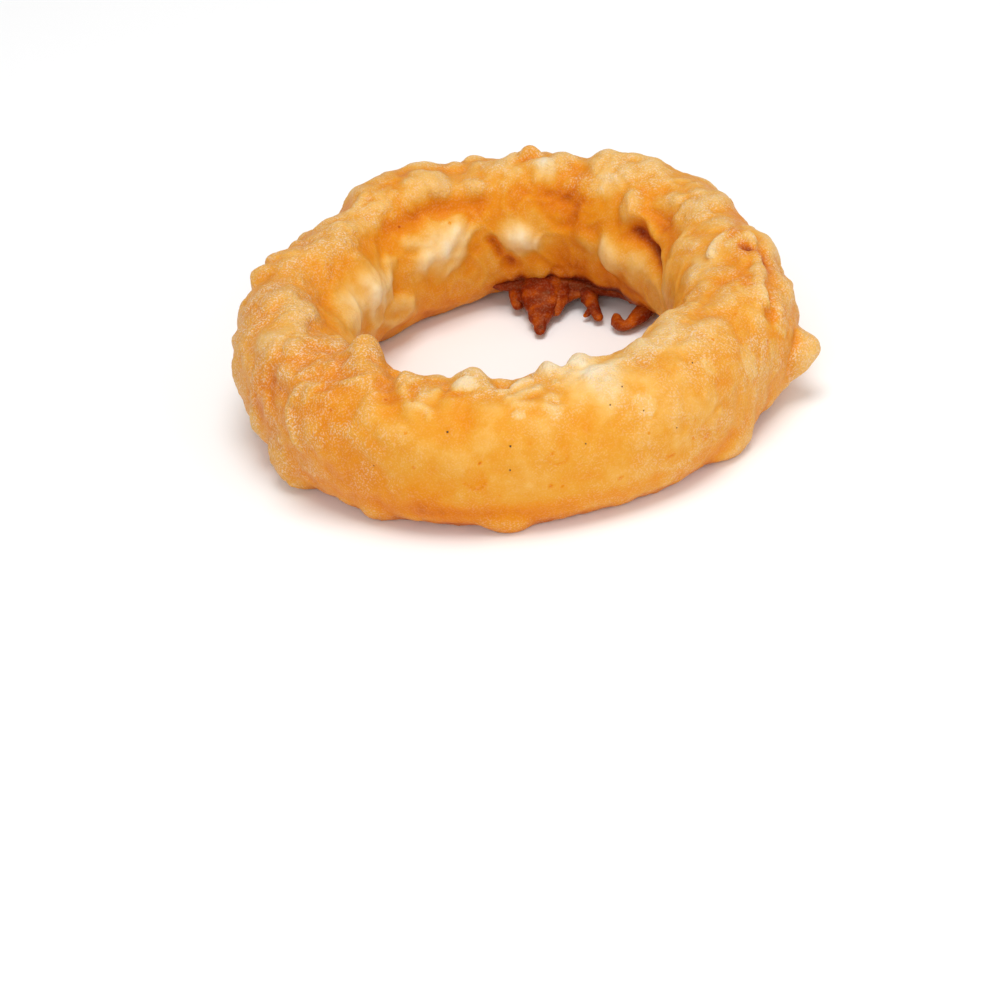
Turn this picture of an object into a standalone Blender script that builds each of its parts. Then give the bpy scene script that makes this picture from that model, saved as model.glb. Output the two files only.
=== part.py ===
"""One battered, deep-fried onion ring, lying flat.

The ring is a swept wall: a superellipse section carried round a slightly
off-round path, swollen and thinned by named lumps, dips, folds, creases and
batter drips, with the crust's own unevenness laid over it. Its underside is
cut flat where the crust bears on the surface below.

Angles: ROUND runs round the ring, 0 at +X and 90 at +Y. SECTION runs round the
wall, 0 facing outwards, 90 on top, 180 facing the hole, 270 underneath.
Lengths below are in millimetres.
"""

import math

import bmesh
import bpy
import numpy as np

MM = 0.001

# The wall
PATH_RADIUS = 34.4      # centre line of the wall
PATH_SHIFT = 0.8        # the path is this much fuller on the far side
PATH_SHIFT_AT = 115.0
WALL_HALF_WIDTH = 9.2
WALL_HALF_HEIGHT = 11.3
HEIGHT_SWELL = 0.05     # the far wall stands this much taller
HEIGHT_SWELL_AT = 110.0
SECTION_POWER = 2.4
BEARING_SINK = 0.7      # how much of the underside is pressed flat
ARCH_HEIGHT = 2.0       # the far side arches clear of the surface
ARCH_AT = 78.0
ARCH_SPREAD = 24.0

# The facets
ROUND_STEPS = 104
SECTION_STEPS = 46

# Lumps and dips: ROUND, SECTION, radius, height (negative is a dip)
LUMPS = {
    # outer wall and far rim
    "outer_left_knob": (162, 56, 3.2, 1.7),
    "outer_left_slope": (175, 33, 5.0, -0.8),
    "left_heel": (184, 8, 4.6, 0.6),
    "left_mound": (195, 61, 4.5, 0.9),
    "left_low_mound": (196, 344, 4.0, 1.0),
    "far_left_swelling": (117, 78, 12.0, 1.6),
    "far_left_step": (133, 60, 7.0, -2.5),
    "far_left_dip": (146, 66, 8.0, -1.2),
    "far_left_lump": (107, 68, 4.5, 1.0),
    "far_nub": (79, 87, 2.2, 2.0),
    "far_pale_lump": (74, 104, 4.0, 1.5),
    "far_peak": (70, 88, 3.0, 1.2),
    "far_valley": (64, 103, 2.8, -0.9),
    "far_right_lump": (57, 87, 4.5, 1.0),
    "far_right_lump_b": (46, 78, 3.4, 0.8),
    "far_right_shoulder": (15, 48, 8.5, -1.8),
    "far_right_dip": (24, 36, 6.0, -1.1),
    "far_right_bump": (37, 45, 4.5, 0.9),
    "far_rim_gap": (66, 70, 3.2, -1.5),
    "far_middle_dip": (88, 70, 4.0, -1.3),
    "right_rim_lump": (22, 72, 3.6, 0.8),
    "right_side_dip": (1, 24, 7.5, -1.9),
    "right_outer_lump": (0, 54, 3.0, 0.9),
    "right_outer_lump_b": (348, 36, 3.2, 0.9),
    "right_side_swelling": (340, 20, 11.0, 0.9),
    "right_lower_corner": (318, 308, 6.0, 1.8),
    "right_lower_side": (337, 320, 6.0, 0.9),
    "right_flap": (356, 82, 5.0, 1.3),
    "right_flap_pit": (355, 72, 2.3, -1.6),
    # the wall round the hole
    "inner_roll": (110, 104, 5.0, 1.2),
    "inner_roll_end": (96, 118, 3.2, 0.8),
    "inner_far_lump": (83, 166, 4.6, 2.0),
    "inner_far_left_lump": (114, 160, 5.5, 1.5),
    "inner_left_lump": (147, 163, 5.5, 1.9),
    "inner_left_cheek": (164, 158, 4.8, 1.3),
    "inner_left_low_lump": (133, 205, 5.0, 1.0),
    "inner_left_hollow": (134, 138, 6.5, -1.2),
    "inner_left_setback": (168, 127, 10.0, -2.6),
    "inner_left_setback_b": (189, 124, 8.0, -1.8),
    "inner_far_hollow": (68, 134, 5.0, -0.9),
    "inner_right_shelf": (47, 171, 4.5, 1.5),
    "inner_right_low_shelf": (38, 180, 5.5, 1.3),
    "inner_right_lump": (41, 124, 3.2, 1.9),
    "inner_right_pocket": (26, 156, 4.0, -1.7),
    "inner_right_groove": (30, 118, 4.6, -1.2),
    "inner_right_cheek": (8, 148, 8.0, 1.7),
    # near rim and front
    "near_right_crest": (322, 122, 7.0, 1.2),
    "near_left_knob": (217, 118, 4.8, 1.4),
    "near_left_knob_foot": (219, 104, 5.6, 1.3),
    "near_crest_lump_a": (237, 106, 3.2, 0.8),
    "near_crest_lump_b": (243, 116, 3.0, 0.8),
    "near_crest_lump": (254, 112, 3.8, 1.3),
    "near_crest_notch": (263.5, 104, 3.2, -1.7),
    "near_twin_left": (277, 113, 3.4, 1.7),
    "near_twin_gap": (281.5, 116, 1.8, -0.9),
    "near_twin_right": (286, 114, 3.4, 1.4),
    "left_front_fold": (219, 28, 9.0, 0.8),
    "left_front_hollow": (203, 44, 5.0, -1.1),
    "left_lower_lobe": (207, 318, 6.0, 1.6),
    "near_lower_lobe_a": (262, 303, 5.0, 1.0),
    "near_lower_lobe_b": (232, 306, 4.0, 0.9),
}

# The thin batter tip at the right: ROUND, SECTION, radius, reach
SIDE_TIP = (343.0, 346.0, 4.2, 3.9)

# Batter that ran off the far wall's lower edge: ROUND, SECTION, radius, reach
DRIPS = {
    "long_drip": (79, 218, 3.4, 4.0),
    "short_drip": (70, 220, 2.4, 2.4),
    "forked_drip": (57, 222, 2.4, 2.0),
    "hook_drip": (40, 224, 3.6, 3.0),
    "left_drip": (114, 226, 3.0, 1.6),
}

# Creases and ridges: half width, height, then ROUND and SECTION along it
LINES = {
    "left_fold_crease": (1.4, -0.35, (222, 74), (213, 60), (209, 42), (212, 18), (215, 354)),
    "left_fold_lip": (1.2, 0.4, (222, 66), (215, 52), (213, 38), (216, 18)),
    "inner_roll_shadow": (2.3, -0.9, (126, 122), (112, 124), (99, 130)),
    "inner_far_crease": (1.3, -1.0, (94, 168), (91, 184), (88, 200)),
    "inner_right_crevice": (1.7, -1.7, (38, 143), (27, 155), (17, 168)),
    "inner_right_groove": (2.6, -1.1, (36, 108), (23, 127), (13, 146)),
    "right_flap_lip": (0.9, 0.5, (355, 102), (1, 92), (4, 80), (357, 71), (346, 65), (335, 56)),
    "right_flap_step": (1.3, -0.45, (9, 80), (1, 65), (348, 57), (336, 47)),
    "near_left_knob_ridge": (2.4, 0.9, (215, 128), (221, 106), (227, 84)),
    "near_left_knob_crease": (1.5, -0.9, (231, 112), (233, 92), (236, 74)),
}

SWELL = (25.0, 0.9)
LUMP = (9.0, 0.7)
BLISTER = (5.0, 0.55)
WANDER = (4.5, 0.8)     # how far the lumps' outlines stray from round


def fade(t):
    return t * t * t * (t * (t * 6.0 - 15.0) + 10.0)


def lattice_hash(ix, iy, iz, seed):
    h = (ix * 374761393 + iy * 668265263 + iz * 1274126177 + seed * 974634777) & 0xFFFFFFFF
    h = ((h ^ (h >> 13)) * 1103515245) & 0xFFFFFFFF
    h = ((h ^ (h >> 16)) * 2246822519) & 0xFFFFFFFF
    return (h ^ (h >> 15)) & 0xFFFFFFFF


def noise(p, wavelength, seed):
    """Gradient noise in space, about -1 to 1."""
    q = p / wavelength + 100.0
    cell = np.floor(q).astype(np.int64)
    f = q - cell
    u = fade(f)
    total = np.zeros(len(p))
    for dx in (0, 1):
        for dy in (0, 1):
            for dz in (0, 1):
                h = lattice_hash(cell[:, 0] + dx, cell[:, 1] + dy, cell[:, 2] + dz, seed)
                g = np.stack([h & 1023, (h >> 10) & 1023, (h >> 20) & 1023], axis=1) / 511.5 - 1.0
                g /= np.sqrt((g * g).sum(axis=1, keepdims=True) + 1e-9)
                dot = (g * (f - (dx, dy, dz))).sum(axis=1)
                weight = (
                    (u[:, 0] if dx else 1 - u[:, 0])
                    * (u[:, 1] if dy else 1 - u[:, 1])
                    * (u[:, 2] if dz else 1 - u[:, 2])
                )
                total += weight * dot
    return total * 1.6


def angle_gap(angle, at):
    """The signed angle from at, in degrees, between -180 and 180."""
    return (np.degrees(angle) - at + 180.0) % 360.0 - 180.0


def around(angle, at, spread):
    return np.exp(-((angle_gap(angle, at) / spread) ** 2))


def wall(ring_angle, section_angle):
    """The smooth wall, before its lumps: a superellipse carried round the path."""
    path = PATH_RADIUS + PATH_SHIFT * np.cos(ring_angle - math.radians(PATH_SHIFT_AT))
    half_height = WALL_HALF_HEIGHT * (
        1 + HEIGHT_SWELL * np.cos(ring_angle - math.radians(HEIGHT_SWELL_AT))
    )
    c, s = np.cos(section_angle), np.sin(section_angle)
    reach = (
        (np.abs(c) / WALL_HALF_WIDTH) ** SECTION_POWER
        + (np.abs(s) / half_height) ** SECTION_POWER
    ) ** (-1.0 / SECTION_POWER)
    radius = path + reach * c
    low = np.clip(-s, 0.0, 1.0)
    arch = ARCH_HEIGHT * around(ring_angle, ARCH_AT, ARCH_SPREAD) * (0.25 + 0.75 * low)
    z = half_height - BEARING_SINK + reach * s + arch
    return np.stack([radius * np.cos(ring_angle), radius * np.sin(ring_angle), z], axis=-1)


def wall_at(ring_degrees, section_degrees):
    return wall(np.array(math.radians(ring_degrees)), np.array(math.radians(section_degrees)))


def wall_normal(ring_angle, section_angle):
    step = 1e-4
    along = wall(ring_angle + step, section_angle) - wall(ring_angle - step, section_angle)
    across = wall(ring_angle, section_angle + step) - wall(ring_angle, section_angle - step)
    n = np.cross(along, across)
    return n / np.linalg.norm(n, axis=-1, keepdims=True)


def dome(distance, radius):
    return np.clip(1.0 - (distance / radius) ** 2, 0.0, 1.0) ** 2


def distance_to_line(p, a, b):
    t = np.clip(((p - a) @ (b - a)) / ((b - a) @ (b - a)), 0.0, 1.0)
    return np.linalg.norm(p - (a + t[:, None] * (b - a)), axis=1)


def crust_mask(ring_angle, section_angle):
    """How broken the crust is: smooth on the near outer wall, lumpy on the rims."""
    s = np.sin(section_angle)
    outward = np.clip(np.cos(section_angle), 0.0, 1.0)
    near = np.clip(around(ring_angle, 285, 62), 0.0, 1.0)
    rim = np.clip(s, 0.0, 1.0) ** 1.5
    under = np.clip(-s, 0.0, 1.0) ** 2
    rough = 0.75 + 0.35 * rim + 0.1 * under
    return rough * (1 - 0.72 * near * outward * (1 - 0.6 * rim))


def wandered(p):
    """The places moved about a little, so that what is laid out on them isn't round."""
    return p + WANDER[1] * np.stack([noise(p, WANDER[0], 31 + k) for k in range(3)], axis=1)


def distance_along(p, stops):
    """The distance to the chain of straight runs through these places on the wall."""
    at = [wall_at(*stop) for stop in stops]
    return np.min([distance_to_line(p, a, b) for a, b in zip(at, at[1:])], axis=0)


def crust(ring_angle, section_angle):
    """The finished surface at these angles."""
    base = wall(ring_angle, section_angle)
    normal = wall_normal(ring_angle, section_angle)
    rough = crust_mask(ring_angle, section_angle)
    height = SWELL[1] * noise(base, SWELL[0], 3)
    height = height + LUMP[1] * noise(base, LUMP[0], 11) * rough
    height = height + BLISTER[1] * (np.abs(noise(base, BLISTER[0], 23)) - 0.3) * rough
    under = np.clip(-np.sin(section_angle) - 0.6, 0.0, 0.4) / 0.4
    height = height * (1 - 0.25 * under)
    strayed = wandered(base)
    for ring_at, section_at, radius, rise in LUMPS.values():
        away = np.linalg.norm(strayed - wall_at(ring_at, section_at), axis=1)
        height = height + rise * dome(away, radius)
    for half_width, rise, *stops in LINES.values():
        height = height + rise * dome(distance_along(strayed, stops), 1.6 * half_width)
    point = base + normal * height[:, None]
    ring_at, section_at, radius, reach = SIDE_TIP
    outward = np.array([math.cos(math.radians(ring_at)), math.sin(math.radians(ring_at)), 0.10])
    away = np.linalg.norm(strayed - wall_at(ring_at, section_at), axis=1)
    point = point + outward * (reach * dome(away, radius) ** 0.75)[:, None]
    for ring_at, section_at, radius, reach in DRIPS.values():
        at = math.radians(ring_at)
        inward = np.array([-math.cos(at), -math.sin(at), -0.3])
        away = np.linalg.norm(strayed - wall_at(ring_at, section_at), axis=1)
        point = point + inward * (reach * dome(away, radius))[:, None]
    point[:, 2] = np.maximum(point[:, 2], 0.0)
    return point


def crust_grid(round_steps, section_steps):
    ring_angle, section_angle = np.meshgrid(
        np.arange(round_steps) * 2 * math.pi / round_steps,
        np.arange(section_steps) * 2 * math.pi / section_steps,
        indexing="ij",
    )
    return crust(ring_angle.ravel(), section_angle.ravel())


def ring_mesh(name, round_steps, section_steps):
    points = crust_grid(round_steps, section_steps)
    middle = (points.min(axis=0) + points.max(axis=0)) / 2
    points -= (middle[0], middle[1], 0.0)
    work = bmesh.new()
    verts = [work.verts.new(p) for p in points * MM]
    for i in range(round_steps):
        for j in range(section_steps):
            after_i, after_j = (i + 1) % round_steps, (j + 1) % section_steps
            work.faces.new(
                (
                    verts[i * section_steps + j],
                    verts[after_i * section_steps + j],
                    verts[after_i * section_steps + after_j],
                    verts[i * section_steps + after_j],
                )
            )
    bmesh.ops.triangulate(work, faces=work.faces[:], quad_method="SHORT_EDGE")
    bmesh.ops.recalc_face_normals(work, faces=work.faces[:])
    mesh = bpy.data.meshes.new(name)
    work.to_mesh(mesh)
    work.free()
    mesh.shade_smooth()
    return mesh


def batter_material():
    material = bpy.data.materials.new("fried_batter")
    material.use_nodes = True
    shader = material.node_tree.nodes["Principled BSDF"]
    shader.inputs["Base Color"].default_value = (0.79, 0.40, 0.10, 1.0)
    shader.inputs["Roughness"].default_value = 0.45
    shader.inputs["Metallic"].default_value = 0.0
    material.diffuse_color = (0.79, 0.40, 0.10, 1.0)
    return material


def main():
    for old in list(bpy.data.objects):
        bpy.data.objects.remove(old, do_unlink=True)
    scene = bpy.context.scene
    scene.unit_settings.system = "METRIC"
    scene.unit_settings.scale_length = 1.0
    ring = bpy.data.objects.new("onion_ring", ring_mesh("onion_ring", ROUND_STEPS, SECTION_STEPS))
    ring.data.materials.append(batter_material())
    scene.collection.objects.link(ring)


main()
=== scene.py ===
import math

import bpy
import numpy as np
from mathutils import Matrix, Vector


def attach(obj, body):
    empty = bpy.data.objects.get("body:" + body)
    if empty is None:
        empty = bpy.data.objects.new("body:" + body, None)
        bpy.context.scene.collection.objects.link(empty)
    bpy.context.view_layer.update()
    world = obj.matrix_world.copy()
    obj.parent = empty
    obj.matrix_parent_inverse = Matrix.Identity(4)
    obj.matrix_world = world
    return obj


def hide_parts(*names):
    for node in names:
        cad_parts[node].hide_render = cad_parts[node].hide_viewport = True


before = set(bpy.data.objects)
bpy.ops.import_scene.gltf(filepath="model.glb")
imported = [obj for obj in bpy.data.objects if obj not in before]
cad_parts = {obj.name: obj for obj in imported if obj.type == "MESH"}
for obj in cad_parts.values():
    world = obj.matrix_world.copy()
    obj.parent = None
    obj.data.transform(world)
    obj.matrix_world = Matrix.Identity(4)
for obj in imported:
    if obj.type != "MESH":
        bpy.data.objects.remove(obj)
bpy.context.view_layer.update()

MM = 0.001

# ---------------------------------------------------------------------------
# The ring's wall and its named features, in millimetres and degrees.
# ROUND runs round the ring, 0 at +X and 90 at +Y. SECTION runs round the wall,
# 0 facing outwards, 90 on top, 180 facing the hole, 270 underneath.
# ---------------------------------------------------------------------------

PATH_RADIUS = 34.4
PATH_SHIFT = 0.8
PATH_SHIFT_AT = 115.0
WALL_HALF_WIDTH = 9.2
WALL_HALF_HEIGHT = 11.3
HEIGHT_SWELL = 0.05
HEIGHT_SWELL_AT = 110.0
SECTION_POWER = 2.4
BEARING_SINK = 0.7
ARCH_HEIGHT = 2.0
ARCH_AT = 78.0
ARCH_SPREAD = 24.0

# The CAD solid's facets, whose middle is the origin
SOLID_ROUND_STEPS = 104
SOLID_SECTION_STEPS = 46

# The visible crust's facets
ROUND_STEPS = 620
SECTION_STEPS = 160

# Lumps and dips: ROUND, SECTION, radius, height (negative is a dip)
LUMPS = {
    # outer wall and far rim
    "outer_left_knob": (162, 56, 3.2, 1.7),
    "outer_left_slope": (175, 33, 5.0, -0.8),
    "left_heel": (184, 8, 4.6, 0.6),
    "left_mound": (195, 61, 4.5, 0.9),
    "left_low_mound": (196, 344, 4.0, 1.0),
    "far_left_swelling": (117, 78, 12.0, 1.6),
    "far_left_step": (133, 60, 7.0, -2.5),
    "far_left_dip": (146, 66, 8.0, -1.2),
    "far_left_lump": (107, 68, 4.5, 1.0),
    "far_nub": (79, 87, 2.2, 2.0),
    "far_pale_lump": (74, 104, 4.0, 1.5),
    "far_peak": (70, 88, 3.0, 1.2),
    "far_valley": (64, 103, 2.8, -0.9),
    "far_right_lump": (57, 87, 4.5, 1.0),
    "far_right_lump_b": (46, 78, 3.4, 0.8),
    "far_right_shoulder": (15, 48, 8.5, -1.8),
    "far_right_dip": (24, 36, 6.0, -1.1),
    "far_right_bump": (37, 45, 4.5, 0.9),
    "far_rim_gap": (66, 70, 3.2, -1.5),
    "far_middle_dip": (88, 70, 4.0, -1.3),
    "right_rim_lump": (22, 72, 3.6, 0.8),
    "right_side_dip": (1, 24, 7.5, -1.9),
    "right_outer_lump": (0, 54, 3.0, 0.9),
    "right_outer_lump_b": (348, 36, 3.2, 0.9),
    "right_side_swelling": (340, 20, 11.0, 0.9),
    "right_lower_corner": (318, 308, 6.0, 1.8),
    "right_lower_side": (337, 320, 6.0, 0.9),
    "right_flap": (356, 82, 5.0, 1.3),
    "right_flap_pit": (355, 72, 2.3, -1.6),
    # the wall round the hole
    "inner_roll": (110, 104, 5.0, 1.2),
    "inner_roll_end": (96, 118, 3.2, 0.8),
    "inner_far_lump": (83, 166, 4.6, 2.0),
    "inner_far_left_lump": (114, 160, 5.5, 1.5),
    "inner_left_lump": (147, 163, 5.5, 1.9),
    "inner_left_cheek": (164, 158, 4.8, 1.3),
    "inner_left_low_lump": (133, 205, 5.0, 1.0),
    "inner_left_hollow": (134, 138, 6.5, -1.2),
    "inner_left_setback": (168, 127, 10.0, -2.6),
    "inner_left_setback_b": (189, 124, 8.0, -1.8),
    "inner_far_hollow": (68, 134, 5.0, -0.9),
    "inner_right_shelf": (47, 171, 4.5, 1.5),
    "inner_right_low_shelf": (38, 180, 5.5, 1.3),
    "inner_right_lump": (41, 124, 3.2, 1.9),
    "inner_right_pocket": (26, 156, 4.0, -1.7),
    "inner_right_groove": (30, 118, 4.6, -1.2),
    "inner_right_cheek": (8, 148, 8.0, 1.7),
    # near rim and front
    "near_right_crest": (322, 122, 7.0, 1.2),
    "near_left_knob": (217, 118, 4.8, 1.4),
    "near_left_knob_foot": (219, 104, 5.6, 1.3),
    "near_crest_lump_a": (237, 106, 3.2, 0.8),
    "near_crest_lump_b": (243, 116, 3.0, 0.8),
    "near_crest_lump": (254, 112, 3.8, 1.3),
    "near_crest_notch": (263.5, 104, 3.2, -1.7),
    "near_twin_left": (277, 113, 3.4, 1.7),
    "near_twin_gap": (281.5, 116, 1.8, -0.9),
    "near_twin_right": (286, 114, 3.4, 1.4),
    "left_front_fold": (219, 28, 9.0, 0.8),
    "left_front_hollow": (203, 44, 5.0, -1.1),
    "left_lower_lobe": (207, 318, 6.0, 1.6),
    "near_lower_lobe_a": (262, 303, 5.0, 1.0),
    "near_lower_lobe_b": (232, 306, 4.0, 0.9),
}

# The thin batter tip at the right: ROUND, SECTION, radius, reach
SIDE_TIP = (343.0, 346.0, 4.2, 3.9)

# Batter that ran off the far wall's lower edge: ROUND, SECTION, radius, reach
DRIPS = {
    "long_drip": (79, 218, 3.4, 4.0),
    "short_drip": (70, 220, 2.4, 2.4),
    "forked_drip": (57, 222, 2.4, 2.0),
    "hook_drip": (40, 224, 3.6, 3.0),
    "left_drip": (114, 226, 3.0, 1.6),
}

# Creases and ridges: half width, height, then ROUND and SECTION along it
LINES = {
    "left_fold_crease": (1.4, -0.35, (222, 74), (213, 60), (209, 42), (212, 18), (215, 354)),
    "left_fold_lip": (1.2, 0.4, (222, 66), (215, 52), (213, 38), (216, 18)),
    "inner_roll_shadow": (2.3, -0.9, (126, 122), (112, 124), (99, 130)),
    "inner_far_crease": (1.3, -1.0, (94, 168), (91, 184), (88, 200)),
    "inner_right_crevice": (1.7, -1.7, (38, 143), (27, 155), (17, 168)),
    "inner_right_groove": (2.6, -1.1, (36, 108), (23, 127), (13, 146)),
    "right_flap_lip": (0.9, 0.5, (355, 102), (1, 92), (4, 80), (357, 71), (346, 65), (335, 56)),
    "right_flap_step": (1.3, -0.45, (9, 80), (1, 65), (348, 57), (336, 47)),
    "near_left_knob_ridge": (2.4, 0.9, (215, 128), (221, 106), (227, 84)),
    "near_left_knob_crease": (1.5, -0.9, (231, 112), (233, 92), (236, 74)),
}

SWELL = (25.0, 0.9)
LUMP = (9.0, 0.7)
BLISTER = (5.0, 0.55)
WANDER = (4.5, 0.8)     # how far the lumps' outlines stray from round


def fade(t):
    return t * t * t * (t * (t * 6.0 - 15.0) + 10.0)


def lattice_hash(ix, iy, iz, seed):
    h = (ix * 374761393 + iy * 668265263 + iz * 1274126177 + seed * 974634777) & 0xFFFFFFFF
    h = ((h ^ (h >> 13)) * 1103515245) & 0xFFFFFFFF
    h = ((h ^ (h >> 16)) * 2246822519) & 0xFFFFFFFF
    return (h ^ (h >> 15)) & 0xFFFFFFFF


def noise(p, wavelength, seed):
    """Gradient noise in space, about -1 to 1."""
    q = p / wavelength + 100.0
    cell = np.floor(q).astype(np.int64)
    f = q - cell
    u = fade(f)
    total = np.zeros(len(p))
    for dx in (0, 1):
        for dy in (0, 1):
            for dz in (0, 1):
                h = lattice_hash(cell[:, 0] + dx, cell[:, 1] + dy, cell[:, 2] + dz, seed)
                g = np.stack([h & 1023, (h >> 10) & 1023, (h >> 20) & 1023], axis=1) / 511.5 - 1.0
                g /= np.sqrt((g * g).sum(axis=1, keepdims=True) + 1e-9)
                dot = (g * (f - (dx, dy, dz))).sum(axis=1)
                weight = (
                    (u[:, 0] if dx else 1 - u[:, 0])
                    * (u[:, 1] if dy else 1 - u[:, 1])
                    * (u[:, 2] if dz else 1 - u[:, 2])
                )
                total += weight * dot
    return total * 1.6


def angle_gap(angle, at):
    """The signed angle from at, in degrees, between -180 and 180."""
    return (np.degrees(angle) - at + 180.0) % 360.0 - 180.0


def around(angle, at, spread):
    return np.exp(-((angle_gap(angle, at) / spread) ** 2))


def wall(ring_angle, section_angle):
    """The smooth wall, before its lumps: a superellipse carried round the path."""
    path = PATH_RADIUS + PATH_SHIFT * np.cos(ring_angle - math.radians(PATH_SHIFT_AT))
    half_height = WALL_HALF_HEIGHT * (
        1 + HEIGHT_SWELL * np.cos(ring_angle - math.radians(HEIGHT_SWELL_AT))
    )
    c, s = np.cos(section_angle), np.sin(section_angle)
    reach = (
        (np.abs(c) / WALL_HALF_WIDTH) ** SECTION_POWER
        + (np.abs(s) / half_height) ** SECTION_POWER
    ) ** (-1.0 / SECTION_POWER)
    radius = path + reach * c
    low = np.clip(-s, 0.0, 1.0)
    arch = ARCH_HEIGHT * around(ring_angle, ARCH_AT, ARCH_SPREAD) * (0.25 + 0.75 * low)
    z = half_height - BEARING_SINK + reach * s + arch
    return np.stack([radius * np.cos(ring_angle), radius * np.sin(ring_angle), z], axis=-1)


def wall_at(ring_degrees, section_degrees):
    return wall(np.array(math.radians(ring_degrees)), np.array(math.radians(section_degrees)))


def wall_normal(ring_angle, section_angle):
    step = 1e-4
    along = wall(ring_angle + step, section_angle) - wall(ring_angle - step, section_angle)
    across = wall(ring_angle, section_angle + step) - wall(ring_angle, section_angle - step)
    n = np.cross(along, across)
    return n / np.linalg.norm(n, axis=-1, keepdims=True)


def dome(distance, radius):
    return np.clip(1.0 - (distance / radius) ** 2, 0.0, 1.0) ** 2


def distance_to_line(p, a, b):
    t = np.clip(((p - a) @ (b - a)) / ((b - a) @ (b - a)), 0.0, 1.0)
    return np.linalg.norm(p - (a + t[:, None] * (b - a)), axis=1)


def crust_mask(ring_angle, section_angle):
    """How broken the crust is: smooth on the near outer wall, lumpy on the rims."""
    s = np.sin(section_angle)
    outward = np.clip(np.cos(section_angle), 0.0, 1.0)
    near = np.clip(around(ring_angle, 285, 62), 0.0, 1.0)
    rim = np.clip(s, 0.0, 1.0) ** 1.5
    under = np.clip(-s, 0.0, 1.0) ** 2
    rough = 0.75 + 0.35 * rim + 0.1 * under
    return rough * (1 - 0.72 * near * outward * (1 - 0.6 * rim))


def wandered(p):
    """The places moved about a little, so that what is laid out on them isn't round."""
    return p + WANDER[1] * np.stack([noise(p, WANDER[0], 31 + k) for k in range(3)], axis=1)


def distance_along(p, stops):
    """The distance to the chain of straight runs through these places on the wall."""
    at = [wall_at(*stop) for stop in stops]
    return np.min([distance_to_line(p, a, b) for a, b in zip(at, at[1:])], axis=0)


def crust(ring_angle, section_angle, settle=True, drips=True):
    """The surface at these angles, as the CAD solid has it."""
    base = wall(ring_angle, section_angle)
    normal = wall_normal(ring_angle, section_angle)
    rough = crust_mask(ring_angle, section_angle)
    height = SWELL[1] * noise(base, SWELL[0], 3)
    height = height + LUMP[1] * noise(base, LUMP[0], 11) * rough
    height = height + BLISTER[1] * (np.abs(noise(base, BLISTER[0], 23)) - 0.3) * rough
    under = np.clip(-np.sin(section_angle) - 0.6, 0.0, 0.4) / 0.4
    height = height * (1 - 0.25 * under)
    strayed = wandered(base)
    for ring_at, section_at, radius, rise in LUMPS.values():
        away = np.linalg.norm(strayed - wall_at(ring_at, section_at), axis=1)
        height = height + rise * dome(away, radius)
    for half_width, rise, *stops in LINES.values():
        height = height + rise * dome(distance_along(strayed, stops), 1.6 * half_width)
    point = base + normal * height[:, None]
    ring_at, section_at, radius, reach = SIDE_TIP
    outward = np.array([math.cos(math.radians(ring_at)), math.sin(math.radians(ring_at)), 0.10])
    away = np.linalg.norm(strayed - wall_at(ring_at, section_at), axis=1)
    point = point + outward * (reach * dome(away, radius) ** 0.75)[:, None]
    for ring_at, section_at, radius, reach in DRIPS.values():
        reach = reach if drips else 0.2 * reach
        at = math.radians(ring_at)
        inward = np.array([-math.cos(at), -math.sin(at), -0.3])
        away = np.linalg.norm(strayed - wall_at(ring_at, section_at), axis=1)
        point = point + inward * (reach * dome(away, radius))[:, None]
    if settle:
        point[:, 2] = np.maximum(point[:, 2], 0.0)
    return point


def angles_of(round_steps, section_steps):
    ring_angle, section_angle = np.meshgrid(
        np.arange(round_steps) * 2 * math.pi / round_steps,
        np.arange(section_steps) * 2 * math.pi / section_steps,
        indexing="ij",
    )
    return ring_angle.ravel(), section_angle.ravel()


def middle_of_solid():
    points = crust(*angles_of(SOLID_ROUND_STEPS, SOLID_SECTION_STEPS))
    middle = (points.min(axis=0) + points.max(axis=0)) / 2
    return np.array([middle[0], middle[1], 0.0])


# ---------------------------------------------------------------------------
# The fine crust: popped batter lumps, blisters and grain over that surface.
# ---------------------------------------------------------------------------


def smooth(low, high, x):
    t = np.clip((x - low) / (high - low), 0.0, 1.0)
    return t * t * (3 - 2 * t)


def lattice_random(cell, seed, which):
    return (lattice_hash(cell[:, 0], cell[:, 1], cell[:, 2], seed + 101 * which) & 0xFFFF) / 65535.0


def popped(p, size, seed, low_radius, high_radius, keep=1.0):
    """Round lumps set at random in space, each meeting the next in a crease. About 0 to 1."""
    q = p / size + 100.0
    home = np.floor(q).astype(np.int64)
    best = np.zeros(len(p))
    for dx in (-1, 0, 1):
        for dy in (-1, 0, 1):
            for dz in (-1, 0, 1):
                cell = home + (dx, dy, dz)
                at = cell + np.stack([lattice_random(cell, seed, k) for k in (1, 2, 3)], axis=1)
                radius = low_radius + (high_radius - low_radius) * lattice_random(cell, seed, 4)
                tall = 0.45 + 0.55 * lattice_random(cell, seed, 5)
                tall = np.where(lattice_random(cell, seed, 6) < keep, tall, 0.0)
                away = np.linalg.norm(q - at, axis=1)
                lump = tall * np.sqrt(np.clip(1 - (away / radius) ** 2, 0.0, 1.0))
                best = np.maximum(best, lump)
    return best


def grid(values):
    return values.reshape((ROUND_STEPS, SECTION_STEPS) + values.shape[1:])


def grid_normals(points):
    g = grid(points)
    along = np.roll(g, -1, axis=0) - np.roll(g, 1, axis=0)
    across = np.roll(g, -1, axis=1) - np.roll(g, 1, axis=1)
    n = np.cross(along, across)
    n /= np.linalg.norm(n, axis=-1, keepdims=True) + 1e-12
    return n.reshape(-1, 3)


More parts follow.
